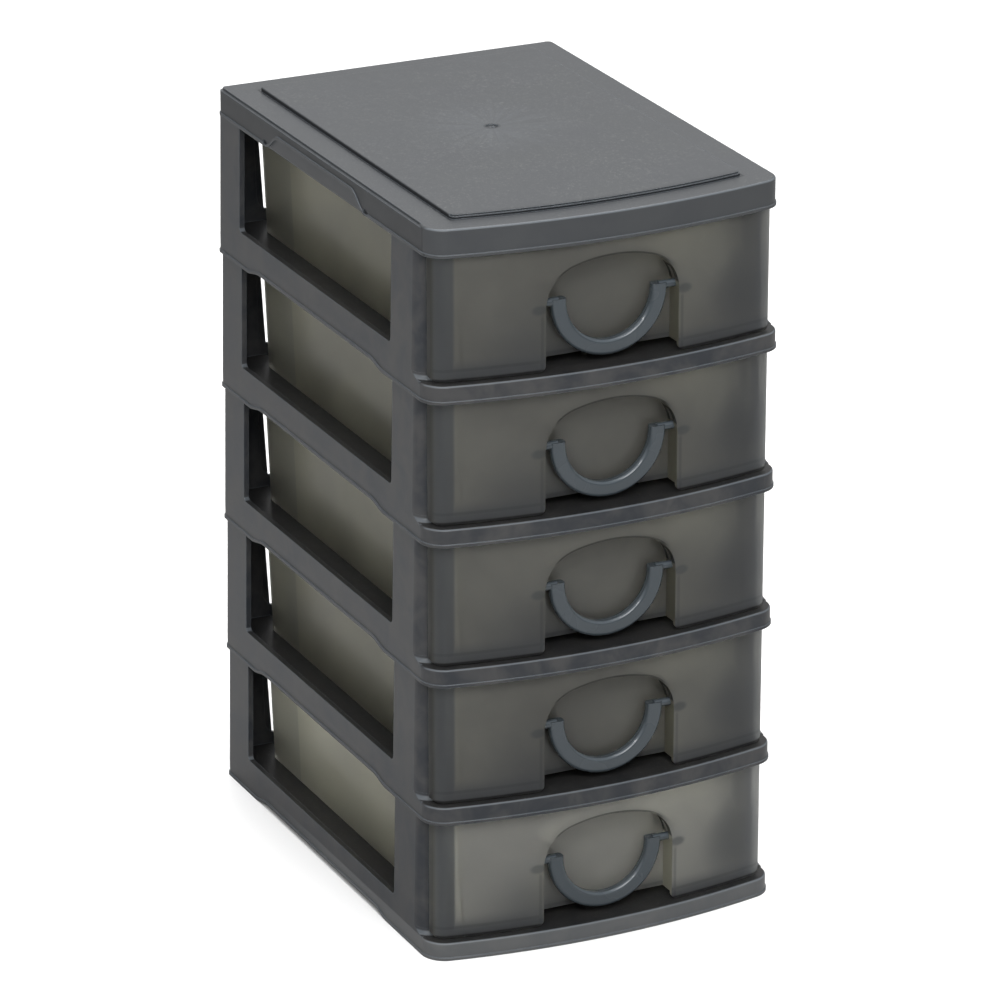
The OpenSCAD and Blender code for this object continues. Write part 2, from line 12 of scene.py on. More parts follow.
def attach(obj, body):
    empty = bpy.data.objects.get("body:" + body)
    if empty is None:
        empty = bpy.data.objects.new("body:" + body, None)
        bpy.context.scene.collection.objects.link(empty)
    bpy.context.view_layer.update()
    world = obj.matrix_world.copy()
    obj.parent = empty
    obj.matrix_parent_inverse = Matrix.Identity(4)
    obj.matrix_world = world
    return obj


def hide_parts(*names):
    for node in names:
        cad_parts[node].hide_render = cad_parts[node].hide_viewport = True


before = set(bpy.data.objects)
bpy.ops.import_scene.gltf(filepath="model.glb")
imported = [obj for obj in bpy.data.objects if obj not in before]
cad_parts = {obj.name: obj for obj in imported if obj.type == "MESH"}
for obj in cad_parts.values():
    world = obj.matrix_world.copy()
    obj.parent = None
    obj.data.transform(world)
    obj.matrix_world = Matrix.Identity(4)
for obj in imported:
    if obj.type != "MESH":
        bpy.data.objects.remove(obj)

LOG = logging.getLogger("drawer_tower")
TIER_PITCH = 0.0688
TIERS = 5
MERGE_DISTANCE = 1e-6
SMOOTH_ANGLE = math.radians(35)
BEVEL_STEPS = 3
EDGE_SAMPLES = 4
LEVEL_ONLY = (1.0, 1.0, 0.0)

Colour = tuple[float, float, float]
Point = tuple[float, float, float]
Socket = bpy.types.NodeSocket


class Slot(Enum):
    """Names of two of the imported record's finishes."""

    FRAME = "frame_plastic"
    DRAWER = "drawer_plastic"


class Group(Enum):
    """The shared surface effects."""

    GRAIN = "mould_grain"
    EDGE = "soft_edge"
    DUST = "dust_and_top_light"
    BAND = "straight_mark"
    RING = "pin_ring"
    FLOW = "melt_flow"
    ZONES = "front_zones"
    RECESS = "recess_shade"
    STEP = "panel_step"
    SHELF = "shelf_shade_and_floor_bounce"


# ---------------------------------------------------------------- nodes


@dataclass(frozen=True)
class Axes:
    """The three parts of a place or a direction."""

    x: Socket
    y: Socket
    z: Socket


class Sheet:
    """Adds and joins the nodes of one material or shared effect."""

    def __init__(self, tree: bpy.types.NodeTree) -> None:
        """Starts on an empty tree.

        Args:
            tree: The node tree to fill.
        """
        self.tree = tree
        self.tree.nodes.clear()

    def add(self, kind: str, values: dict | None = None, **settings: object) -> bpy.types.Node:
        """Adds one node.

        Args:
            kind: The node's type name.
            values: Input values or sockets to join, by input name or number.
            settings: The node's own properties.

        Returns:
            The new node.
        """
        node = self.tree.nodes.new(kind)
        for key, value in settings.items():
            setattr(node, key, value)
        for key, value in (values or {}).items():
            self.feed(node.inputs[key], value)
        return node

    def feed(self, socket: Socket, value: object) -> None:
        """Sets an input to a number or joins it to an output.

        Args:
            socket: The input.
            value: A number, a tuple or an output socket.
        """
        if isinstance(value, bpy.types.NodeSocket):
            self.tree.links.new(value, socket)
        else:
            socket.default_value = value

    def math(self, operation: str, a: object, b: object = 0.0, clamp: bool = False) -> Socket:
        """Adds a Math node.

        Args:
            operation: The sum to do.
            a: First number or socket.
            b: Second number or socket.
            clamp: Whether the result stays between 0 and 1.

        Returns:
            The result's socket.
        """
        node = self.add("ShaderNodeMath", {0: a, 1: b}, operation=operation, use_clamp=clamp)
        return node.outputs[0]

    def times(self, first: object, *others: object) -> Socket:
        """Multiplies numbers and sockets.

        Args:
            first: The first of them.
            others: The others.

        Returns:
            The product's socket.
        """
        for other in others:
            first = self.math("MULTIPLY", first, other)
        return first

    def most(self, first: object, *others: object) -> Socket:
        """Takes the largest of numbers and sockets.

        Args:
            first: The first of them.
            others: The others.

        Returns:
            The result's socket.
        """
        for other in others:
            first = self.math("MAXIMUM", first, other)
        return first

    def minus(self, a: object, b: object) -> Socket:
        """Takes the second number or socket from the first."""
        return self.math("SUBTRACT", a, b)

    def size(self, value: object) -> Socket:
        """Drops a value's sign."""
        return self.math("ABSOLUTE", value)

    def spread(self, value: object, low: object, high: object, to_low: object = 0.0,
               to_high: object = 1.0, smooth: bool = True) -> Socket:
        """Maps a value from one range to another, clamped.

        Args:
            value: The value.
            low: Start of its range.
            high: End of its range.
            to_low: Result at the start.
            to_high: Result at the end.
            smooth: Whether the way between is eased.

        Returns:
            The result's socket.
        """
        node = self.add("ShaderNodeMapRange", {0: value, 1: low, 2: high, 3: to_low, 4: to_high},
                        interpolation_type="SMOOTHSTEP" if smooth else "LINEAR", clamp=True)
        return node.outputs[0]

    def blend(self, share: object, a: object, b: object, mode: str = "MIX") -> Socket:
        """Mixes two colours.

        Args:
            share: How much of the second.
            a: First colour.
            b: Second colour.
            mode: The way of mixing.

        Returns:
            The mixed colour's socket.
        """
        node = self.add("ShaderNodeMix", {"Factor": share}, data_type="RGBA", blend_type=mode)
        self.feed(node.inputs[6], a)
        self.feed(node.inputs[7], b)
        return node.outputs[2]

    def vector(self, operation: str, a: object, b: object = (0.0, 0.0, 0.0)) -> Socket:
        """Adds a Vector Math node.

        Args:
            operation: The sum to do.
            a: First vector or socket.
            b: Second vector or socket.

        Returns:
            The result's socket, a number for a length or a dot product.
        """
        node = self.add("ShaderNodeVectorMath", {0: a, 1: b}, operation=operation)
        return node.outputs["Value" if operation in ("LENGTH", "DOT_PRODUCT") else "Vector"]

    def length(self, x: object, y: object) -> Socket:
        """Measures how far a point of a plane lies from its origin."""
        return self.vector("LENGTH", self.join(x, y))

    def join(self, x: object, y: object, z: object = 0.0) -> Socket:
        """Makes a vector of its three parts."""
        return self.add("ShaderNodeCombineXYZ", {0: x, 1: y, 2: z}).outputs[0]

    def split(self, vector: Socket) -> Axes:
        """Takes a vector apart."""
        return Axes(*self.add("ShaderNodeSeparateXYZ", {0: vector}).outputs)

    def place(self) -> Socket:
        """Reads the point's place in the shared frame."""
        return self.add("ShaderNodeTexCoord").outputs["Object"]

    def facing(self) -> Axes:
        """Reads which way the surface faces."""
        return self.split(self.add("ShaderNodeNewGeometry").outputs["Normal"])

    def noise(self, place: Socket, scale: object, detail: float, roughness: float,
              distortion: float = 0.0) -> Socket:
        """Adds a noise texture.

        Args:
            place: Where it is read.
            scale: How many waves lie in a metre.
            detail: How many finer layers it has.
            roughness: How strong they are.
            distortion: How far it is warped.

        Returns:
            The noise's socket.
        """
        values = {"Vector": place, "Scale": scale, "Detail": detail, "Roughness": roughness,
                  "Distortion": distortion}
        return self.add("ShaderNodeTexNoise", values).outputs[0]


def shared(which: Group, inputs: dict[str, float | Point], masks: tuple[str, ...],
           normal: str | None = None) -> tuple[Sheet, dict[str, Socket], dict[str, Socket]]:
    """Starts a shared effect with named inputs and outputs.

    Args:
        which: The effect.
        inputs: Input names and their usual numbers.
        masks: Names of the outputs that are numbers.
        normal: Name of an output that is a normal.

    Returns:
        The effect's sheet, and the input sockets and the output sockets inside it.
    """
    tree = bpy.data.node_groups.new(which.value, "ShaderNodeTree")
    for name, usual in inputs.items():
        kind = "NodeSocketVector" if isinstance(usual, tuple) else "NodeSocketFloat"
        tree.interface.new_socket(name=name, in_out="INPUT", socket_type=kind).default_value = usual
    kinds = dict.fromkeys(masks, "NodeSocketFloat")
    if normal is not None:
        kinds[normal] = "NodeSocketVector"
    for name, kind in kinds.items():
        tree.interface.new_socket(name=name, in_out="OUTPUT", socket_type=kind)
    s = Sheet(tree)
    into = s.add("NodeGroupInput").outputs
    out = s.add("NodeGroupOutput").inputs
    return s, {name: into[name] for name in inputs}, {name: out[name] for name in kinds}


def make_grain() -> None:
    """Builds the fine texture that a mould leaves, with broad uneven patches."""
    s, i, o = shared(Group.GRAIN, {"Grain Size": 0.0006, "Patch Size": 0.03}, ("Height", "Patch"))
    place = s.place()
    s.feed(o["Height"], s.noise(place, s.math("DIVIDE", 1.0, i["Grain Size"]), 2.0, 0.55))
    broad = s.noise(place, s.math("DIVIDE", 1.0, i["Patch Size"]), 3.0, 0.6, 0.4)
    s.feed(o["Patch"], s.spread(broad, 0.3, 0.7))


def make_edge() -> None:
    """Builds rounded-looking edges: a softened normal, and masks of edges and of rims in front,
    where a highlight is painted.
    """
    s, i, o = shared(Group.EDGE, {"Radius": 0.0005}, ("Mask", "Round"), "Normal")
    soft = s.add("ShaderNodeBevel", {"Radius": i["Radius"]}, samples=EDGE_SAMPLES).outputs[0]
    flat = s.add("ShaderNodeNewGeometry").outputs["Normal"]
    turn = s.split(flat)
    s.feed(o["Normal"], soft)
    s.feed(o["Mask"], s.spread(s.vector("DOT_PRODUCT", soft, flat), 0.995, 0.86))
    # Rims that lean up and to the front, where a highlight is painted.
    leaning = s.times(s.spread(turn.z, 0.25, 0.5), s.spread(turn.z, 0.97, 0.85))
    s.feed(o["Round"], s.times(leaning, s.spread(turn.y, -0.08, -0.3)))


def make_dust() -> None:
    """Builds the pale film on faces that look up: settled dust, and painted top light that
    brightens those faces.
    """
    s, i, o = shared(Group.DUST, {"Amount": 0.5, "Speck Size": 0.0012, "Clouds a Metre": 22.0},
                     ("Film",))
    place = s.place()
    speck = s.noise(place, s.math("DIVIDE", 1.0, i["Speck Size"]), 3.0, 0.7)
    cloud = s.noise(place, i["Clouds a Metre"], 3.0, 0.55)
    up = s.spread(s.facing().z, 0.55, 0.98)
    grit = s.times(s.spread(speck, 0.52, 0.78), s.spread(cloud, 0.3, 0.75, 0.35, 1.0))
    s.feed(o["Film"], s.math("MULTIPLY", s.times(up, grit), i["Amount"], True))


def from_gate(s: Sheet, gate: Socket) -> Socket:
    """Measures level, as seen from above, from the point where the melt entered.

    Args:
        s: The sheet of the shared effect.
        gate: That point.

    Returns:
        The level way from it to the surface's point.
    """
    return s.vector("MULTIPLY", s.vector("SUBTRACT", s.place(), gate), LEVEL_ONLY)


def make_flow() -> None:
    """Builds the faint streaks and the blush that the melt leaves where it entered."""
    s, i, o = shared(Group.FLOW, {"Gate": (0.0, 0.0, 0.0), "Reach": 0.02, "Streaks Round": 9.0,
                                  "Streaks Out": 14.0}, ("Blush", "Streak"))
    away = from_gate(s, i["Gate"])
    far = s.vector("LENGTH", away)
    flat = s.split(away)
    fan = s.join(s.times(s.math("ARCTAN2", flat.x, flat.y), i["Streaks Round"]),
                 s.times(far, i["Streaks Out"]))
    s.feed(o["Blush"], s.spread(s.math("DIVIDE", far, i["Reach"]), 1.0, 0.0))
    s.feed(o["Streak"], s.spread(s.noise(fan, 1.4, 3.0, 0.6), 0.35, 0.65))


def make_band() -> None:
    """Builds a thin straight mark where a coordinate has one value, such as a parting line."""
    s, i, o = shared(Group.BAND, {"Direction": (0.0, 1.0, 0.0), "Place": 0.0, "Half Width": 0.0002},
                     ("Mask",))
    along = s.vector("DOT_PRODUCT", s.place(), i["Direction"])
    s.feed(o["Mask"], s.spread(s.size(s.minus(along, i["Place"])), i["Half Width"], 0.0))


def make_ring() -> None:
    """Builds rows of the round marks of ejector pins, on faces that look up or down."""
    s, i, o = shared(Group.RING,
                     {"Pitch": 0.07, "Radius": 0.0032, "Outer": 0.0003, "Inner": 0.0001},
                     ("Mask",))
    cell = s.vector("MULTIPLY", s.place(), LEVEL_ONLY)
    grid = s.join(i["Pitch"], i["Pitch"], 1.0)
    half = s.vector("MULTIPLY", grid, (0.5, 0.5, 0.0))
    moved = s.vector("ADD", cell, half)
    left = s.vector("SUBTRACT", moved, s.vector("SNAP", moved, grid))
    far = s.vector("LENGTH", s.vector("SUBTRACT", left, half))
    off = s.size(s.minus(far, i["Radius"]))
    level = s.spread(s.size(s.facing().z), 0.9, 0.99)
    s.feed(o["Mask"], s.times(s.spread(off, i["Outer"], i["Inner"]), level))


@dataclass(frozen=True)
class TierPlace:
    """Where a point of a drawer lies in its tier, and which way it faces.

    Attributes:
        x: How far right it lies.
        side: How far from the middle plane it lies.
        y: How far back it lies.
        level: How high over the tier's foot it lies.
        ahead: Mask of the front's outer face.
        aside: Mask of faces that look to a side.
    """

    x: Socket
    side: Socket
    y: Socket
    level: Socket
    ahead: Socket
    aside: Socket

    @classmethod
    def read(cls, s: Sheet, pitch: Socket) -> "TierPlace":
        """Reads the place from the surface.

        Args:
            s: The sheet of the shared effect.
            pitch: The height of a tier.

        Returns:
            The place.
        """
        place, turn = s.split(s.place()), s.facing()
        front = s.spread(place.y, -0.1085, -0.1095)
        return cls(x=place.x, side=s.size(place.x), y=place.y,
                   level=s.math("MODULO", place.z, pitch),
                   ahead=s.times(s.spread(turn.y, -0.35, -0.7), front),
                   aside=s.spread(s.size(turn.x), 0.7, 0.9))


@dataclass(frozen=True)
class ShadePatch:
    """A round patch of painted shade on a drawer's front."""

    x: float
    level: float
    half_width: float
    half_height: float
    top: float

    def mask(self, s: Sheet, at: TierPlace) -> Socket:
        """Builds the patch's mask.

        Args:
            s: The sheet of the shared effect.
            at: The place in the tier.

        Returns:
            The mask's socket.
        """
        far = s.length(s.math("DIVIDE", s.minus(at.x, self.x), self.half_width),
                       s.math("DIVIDE", s.minus(at.level, self.level), self.half_height))
        return s.spread(far, 1.0, 0.1, 0.0, self.top)


SHADE_PATCHES = (ShadePatch(0.072, 0.032, 0.038, 0.046, 1.0), ShadePatch(-0.036, 0.012, 0.046, 0.040, 0.8))


def make_zones() -> None:
    """Builds masks of painted shade on a drawer: its margins, patches, corner return, rear band,
    and the dark lines at its foot and floor; also a mask of its side-facing faces.
    """
    s, i, o = shared(Group.ZONES,
                     {"Pitch": TIER_PITCH, "Foot": 0.0093, "Strip": 0.0060, "Side": 0.0762,
                      "Rear": 0.0715, "Floor": 0.0052, "Left Share": 0.3, "Corner": 0.0835,
                      "Corner End": 0.0850, "Return Start": -0.085, "Return Full": -0.092},
                     ("Margin", "Foot Line", "ShadePatch", "Rear Band", "Aside", "Floor Line", "Return"))
    at = TierPlace.read(s, i["Pitch"])
    level = s.minus(at.level, i["Foot"])
    # Painted shade of the parts behind the front: a low strip over the tub's floor, and side
    # margins before the returns and posts, fainter on the right.
    low = s.spread(s.minus(level, i["Strip"]), 0.0060, -0.0035)
    side = s.times(s.spread(s.minus(at.side, i["Side"]), -0.0008, 0.0010),
                   s.spread(at.x, 0.0, 0.001, 1.0, i["Left Share"]))
    s.feed(o["Margin"], s.times(at.ahead, s.most(low, side)))
    # Painted shade of the gap under the front.
    s.feed(o["Foot Line"], s.times(at.ahead, s.spread(level, 0.0017, 0.0009)))
    # Painted shade of the tub's floor seen through the front.
    from_floor = s.size(s.minus(level, i["Floor"]))
    s.feed(o["Floor Line"], s.times(at.ahead, s.spread(from_floor, 0.0011, 0.0003)))
    # Painted shade on the side return of the front, in the gap beside the post.
    s.feed(o["Return"], s.times(at.aside, s.spread(at.side, i["Corner"], i["Corner End"]),
                                s.spread(at.y, i["Return Start"], i["Return Full"])))
    # Painted shade: the front darkens towards the right, with round patches at the right and low at
    # the left, and a strip near the right corner.
    deepening = s.spread(at.x, 0.022, 0.062, 0.0, 0.5)
    shade_strip = s.times(s.spread(at.x, 0.060, 0.071), s.spread(at.x, 0.0815, 0.0775), 0.85)
    patches = [cloud.mask(s, at) for cloud in SHADE_PATCHES]
    s.feed(o["ShadePatch"], s.times(at.ahead, s.most(*patches, deepening, shade_strip)))
    s.feed(o["Aside"], at.aside)
    # Painted shade over the rear of the drawer's sides.
    s.feed(o["Rear Band"], s.times(at.aside, s.spread(s.minus(at.y, i["Rear"]), -0.0004, 0.0008)))


def make_recess() -> None:
    """Builds masks of painted shade at the recess: the dark line over its arch, its wall seen
    through the front, the pins' slots, and the pins' ends seen through the front.
    """
    s, i, o = shared(Group.RECESS,
                     {"Pitch": TIER_PITCH, "Spring": 0.0386, "Shoulder": 0.0135,
                      "Shoulder Radius": 0.020, "Crown": -0.00596, "Crown Radius": 0.06656,
                      "Pivot": 0.0404, "Half Width": 0.0335, "Wall": 0.0017, "Pin Out": 0.0030,
                      "Pin Drop": 0.0016, "Pin Length": 0.0050, "Pin Height": 0.0030},
                     ("Line", "Slot", "Pin", "Wall"))
    at = TierPlace.read(s, i["Pitch"])
    # Painted shade: a dark line just outside the arch, where the ledge over it lies in shade.
    rise = s.minus(at.level, i["Spring"])
    from_crown = s.minus(at.level, i["Crown"])
    by_side = s.minus(s.length(s.minus(at.side, i["Shoulder"]), rise), i["Shoulder Radius"])
    by_top = s.minus(s.length(at.side, from_crown), i["Crown Radius"])
    drop = s.minus(i["Spring"], i["Crown"])
    wedge = s.math("LESS_THAN", s.times(at.side, drop), s.times(from_crown, i["Shoulder"]))
    off = s.math("ADD", s.times(by_top, wedge), s.times(by_side, s.minus(1.0, wedge)))
    line = s.times(s.spread(off, -0.0004, 0.0), s.spread(off, 0.0010, 0.0006))
    s.feed(o["Line"], s.times(at.ahead, line, s.spread(rise, 0.0125, 0.0160)))

    over = s.minus(at.level, i["Pivot"])
    beside = s.minus(at.side, i["Half Width"])
    # Painted shade in the pins' slots.
    tall = s.times(s.spread(over, 0.0010, 0.0022), s.spread(over, 0.0110, 0.0095))
    wide = s.times(s.spread(beside, -0.0055, -0.0045), s.spread(beside, 0.0036, 0.0028))
    deep = s.times(s.minus(1.0, at.ahead), s.spread(at.y, -0.1030, -0.1050))
    s.feed(o["Slot"], s.times(tall, wide, deep))
    # Painted shade of the pins' ends seen through the front.
    far = s.length(s.math("DIVIDE", s.minus(beside, i["Pin Out"]), i["Pin Length"]),
                   s.math("DIVIDE", s.math("ADD", over, i["Pin Drop"]), i["Pin Height"]))
    s.feed(o["Pin"], s.times(at.ahead, s.spread(far, 1.0, 0.45)))
    # Painted shade of the recess's wall seen through the front.
    from_wall = s.size(s.minus(beside, i["Wall"]))
    s.feed(o["Wall"], s.times(at.ahead, s.spread(from_wall, 0.0011, 0.0003),
                              s.spread(over, -0.0030, -0.0060)))


def make_shelf() -> None:
    """Builds the painted shade of shelves and ledges, and the painted light of the floor's bounce
    on the lowest foot's front.
    """
    s, i, o = shared(Group.SHELF,
                     {"Pitch": TIER_PITCH, "Low": 0.0080, "High": 0.0200, "Foot": 0.0086,
                      "Lit From": -0.03, "Unlit From": 0.09},
                     ("Mask", "Floor Bounce"))
    place, turn = s.split(s.place()), s.facing()
    level = s.math("MODULO", place.z, i["Pitch"])
    # Painted shade on up-facing shelves and ledges inside each tier.
    low = s.spread(s.minus(level, i["Low"]), -0.0002, 0.0)
    high = s.spread(s.minus(level, i["High"]), 0.001, 0.0)
    s.feed(o["Mask"], s.times(s.spread(turn.z, 0.7, 0.95), low, high))
    # Painted light: the floor's bounce on the lowest foot's front.
    foot = s.spread(s.minus(place.z, i["Foot"]), 0.0004, -0.0004)
    ahead = s.spread(place.y, i["Unlit From"], i["Lit From"])
    s.feed(o["Floor Bounce"], s.times(foot, ahead, s.spread(s.size(turn.z), 0.9, 0.6)))


def make_step() -> None:
    """Builds the painted shade of the line round the lid's panel, and the painted shade in its
    dimple and recesses.
    """
    s, i, o = shared(Group.STEP,
                     {"Half Width": 0.073, "Back": 0.110, "Bow Centre": 0.26496,
                      "Bow Radius": 0.37636, "Gate": (0.0, 0.0, 0.0), "Grip Face": 0.0884,
                      "Bow Share": 0.45, "Rim Top": 0.3569, "Rim Clear": 0.3571,
                      "Grip Foot": 0.3440, "Grip Top": 0.3446},
                     ("Line", "Pit", "Grip"))
    place, turn = s.split(s.place()), s.facing()
    side = s.size(place.x)
    front = s.minus(s.length(place.x, s.minus(place.y, i["Bow Centre"])), i["Bow Radius"])
    off = s.most(s.minus(side, i["Half Width"]), front, s.minus(place.y, i["Back"]))
    # Painted shade along the panel's step.
    upright = s.times(s.spread(turn.z, 0.85, 0.45), s.spread(off, -0.0012, -0.0010))
    bowed = s.times(s.spread(front, -0.0042, -0.0008), i["Bow Share"])
    near = s.most(upright, bowed, s.spread(off, -0.0002, 0.0))
    above = s.spread(place.z, i["Rim Top"], i["Rim Clear"])
    s.feed(o["Line"], s.times(near, s.spread(off, 0.0012, 0.0006), above))
    # Painted shade in the gate's dimple.
    far = s.vector("LENGTH", from_gate(s, i["Gate"]))
    s.feed(o["Pit"], s.times(s.spread(far, 0.0047, 0.0030), s.spread(far, 0.0011, 0.0018)))
    # Painted shade in the grip's recess.
    face = s.spread(s.size(s.minus(side, i["Grip Face"])), 0.00022, 0.00012)
    s.feed(o["Grip"], s.times(face, s.spread(place.z, i["Grip Foot"], i["Grip Top"])))


def make_groups() -> None:
    """Builds every shared effect once."""
    for build in (make_grain, make_edge, make_dust, make_flow, make_band, make_ring, make_zones,
                  make_recess, make_shelf, make_step):
        build()


# ---------------------------------------------------------------- finishes


class Look:
    """A material with one Principled shader, whose colour and height are built up in layers."""

    def __init__(self, name: str) -> None:
        """Starts the material.

        Args:
            name: Its name.
        """
        self.material = bpy.data.materials.new(name)
        self.material.use_nodes = True
        self.sheet = Sheet(self.material.node_tree)
        self.shader = self.sheet.add("ShaderNodeBsdfPrincipled")
        out = self.sheet.add("ShaderNodeOutputMaterial")
        self.sheet.feed(out.inputs["Surface"], self.shader.outputs[0])
        self.colour: Socket | None = None
        self.height: object = 0.0

    def use(self, which: Group, **values: object) -> dict[str, Socket]:
        """Places a shared effect in the material.

        Args:
            which: The effect.
            values: Its inputs, with underscores for spaces.

        Returns:
            The effect's outputs, by name.
        """
        node = self.sheet.add("ShaderNodeGroup", node_tree=bpy.data.node_groups[which.value])
        for key, value in values.items():
            self.sheet.feed(node.inputs[key.replace("_", " ")], value)
        return {output.name: output for output in node.outputs}

    def start(self, mask: Socket, low: Colour, high: Colour) -> None:
        """Starts the colour as an uneven mix of two.

        Args:
            mask: Where the second shows.
            low: The first colour.
            high: The second colour.
        """
        self.colour = self.sheet.blend(mask, (*low, 1), (*high, 1))

    def tint(self, mask: Socket, share: float, colour: Colour, mode: str = "MIX") -> None:
        """Lays a colour over what is there.

        Args:
            mask: Where it shows.
            share: How much of it shows there.
            colour: The colour.
            mode: The way of mixing.
        """
        amount = self.sheet.times(mask, share)
        self.colour = self.sheet.blend(amount, self.colour, (*colour, 1), mode)

    def lift(self, mask: Socket, height: float) -> None:
        """Raises the surface in Bump's height, or sinks it where the height is negative.

        Args:
            mask: Where.
            height: By how much.
        """
        self.height = self.sheet.math("ADD", self.height, self.sheet.times(mask, height))

    def finish(self, roughness: Socket, normal: Socket) -> bpy.types.Material:
        """Joins the layers to the shader.

        Args:
            roughness: The roughness.
            normal: The softened normal under the height.

        Returns:
            The material.
        """
        bump = self.sheet.add("ShaderNodeBump", {"Strength": 1.0, "Distance": 1.0,
                                                 "Height": self.height, "Normal": normal})
        self.sheet.feed(self.shader.inputs["Base Color"], self.colour)
        self.sheet.feed(self.shader.inputs["Roughness"], roughness)
        self.sheet.feed(self.shader.inputs["Normal"], bump.outputs[0])
        return self.material


@dataclass(frozen=True)
class MouldedPlastic:
    """Solid coloured plastic with a moulded sheen."""

    name: str
    colour: Colour
    patch_colour: Colour
    highlight_and_mark_colour: Colour
    step_shade_colour: Colour = (0.008, 0.009, 0.011)
    shelf_shade_colour: Colour = (0.010, 0.0095, 0.009)
    floor_bounce_colour: Colour = (0.168, 0.173, 0.175)
    dust_and_top_light_colour: Colour = (0.33, 0.33, 0.32)
    roughness: float = 0.36
    smoother: float = 0.03
    rougher: float = 0.04
    dust_roughness: float = 0.25
    edge_polish: float = 0.14
    specular: float = 0.3
    ior: float = 1.4
    coat: float = 0.0
    coat_roughness: float = 0.12
    grain: float = 0.0005
    grain_lift: float = 0.00002
    patch_size: float = 0.035
    edge_radius: float = 0.0006
    highlight_share: float = 0.65
    rim_highlight_share: float = 0.6
    dust: float = 0.12
    gate: Point | None = None
    gate_reach: float = 0.05
    blush: float = 0.12
    panel_shade_share: float = 0.85
    pit_shade_share: float = 0.7
    grip_shade_share: float = 0.6
    parting: tuple[Point, float] | None = None
    parting_share: float = 0.5
    parting_width: float = 0.00044
    parting_lift: float = 0.00012
    tier_marks: bool = False
    shelf_shade_share: float = 0.75
    floor_bounce_share: float = 0.45
    ring_pitch: float = 0.052
    ring_radius: float = 0.003
    ring_depth: float = 0.00018

    def mark_gate(self, look: Look) -> None:
        """Adds what the melt left round the gate, and the painted shade of the panel's line, the
        gate's dimple and the grip's recesses.

        Args:
            look: The material.
        """
        flow = look.use(Group.FLOW, Gate=self.gate, Reach=self.gate_reach)
        look.tint(look.sheet.times(flow["Streak"], flow["Blush"]), self.blush, self.highlight_and_mark_colour)
        step = look.use(Group.STEP, Gate=self.gate)
        # Painted shade along the panel, in the gate's dimple and in the grip's recess.
        look.tint(step["Line"], self.panel_shade_share, self.step_shade_colour)
        look.tint(step["Pit"], self.pit_shade_share, self.step_shade_colour)
        look.tint(step["Grip"], self.grip_shade_share, self.step_shade_colour)

    def mark_parting(self, look: Look) -> None:
        """Adds the raised line where the halves of the mould met.

        Args:
            look: The material.
        """
        direction, place = self.parting
        line = look.use(Group.BAND, Direction=direction, Place=place,
                        Half_Width=self.parting_width / 2)
        look.tint(line["Mask"], self.parting_share, self.highlight_and_mark_colour)
        look.lift(line["Mask"], self.parting_lift)

    def mark_tier(self, look: Look) -> None:
        """Adds the painted shade of the shelves, the painted floor bounce light on the foot and the
        sunk rings of the pins.

        Args:
            look: The material.
        """
        shelf = look.use(Group.SHELF)
        # Painted shade on the shelves and ledges.
        look.tint(shelf["Mask"], self.shelf_shade_share, self.shelf_shade_colour)
        # Painted light of the floor's bounce on the foot.
        look.tint(shelf["Floor Bounce"], self.floor_bounce_share, self.floor_bounce_colour)
        ring = look.use(Group.RING, Pitch=self.ring_pitch, Radius=self.ring_radius)
        look.lift(ring["Mask"], -self.ring_depth)

    def make(self) -> bpy.types.Material:
        """Builds the material.

        Returns:
            The material.
        """
        look = Look(self.name)
        s = look.sheet
        grain = look.use(Group.GRAIN, Grain_Size=self.grain, Patch_Size=self.patch_size)
        edge = look.use(Group.EDGE, Radius=self.edge_radius)
        dust = look.use(Group.DUST, Amount=self.dust)
        look.start(grain["Patch"], self.colour, self.patch_colour)
        look.lift(grain["Height"], self.grain_lift)
        if self.gate is not None:
            self.mark_gate(look)
        if self.parting is not None:
            self.mark_parting(look)
        if self.tier_marks:
            self.mark_tier(look)
        # Painted highlight: edges and front rims are tinted paler.
        rims = s.most(edge["Mask"], s.times(edge["Round"], self.rim_highlight_share))
        look.tint(rims, self.highlight_share, self.highlight_and_mark_colour)
        # Settled dust, and painted top light on faces that look up.
        look.tint(dust["Film"], 1.0, self.dust_and_top_light_colour)
        rough = s.spread(grain["Patch"], 0.0, 1.0, self.roughness - self.smoother,
                         self.roughness + self.rougher)
        rough = s.minus(rough, s.times(edge["Mask"], self.edge_polish))
        rough = s.math("ADD", rough, s.times(dust["Film"], self.dust_roughness), True)
        look.shader.inputs["Specular IOR Level"].default_value = self.specular
        look.shader.inputs["IOR"].default_value = self.ior
        look.shader.inputs["Coat Weight"].default_value = self.coat
        look.shader.inputs["Coat Roughness"].default_value = self.coat_roughness
        return look.finish(rough, edge["Normal"])


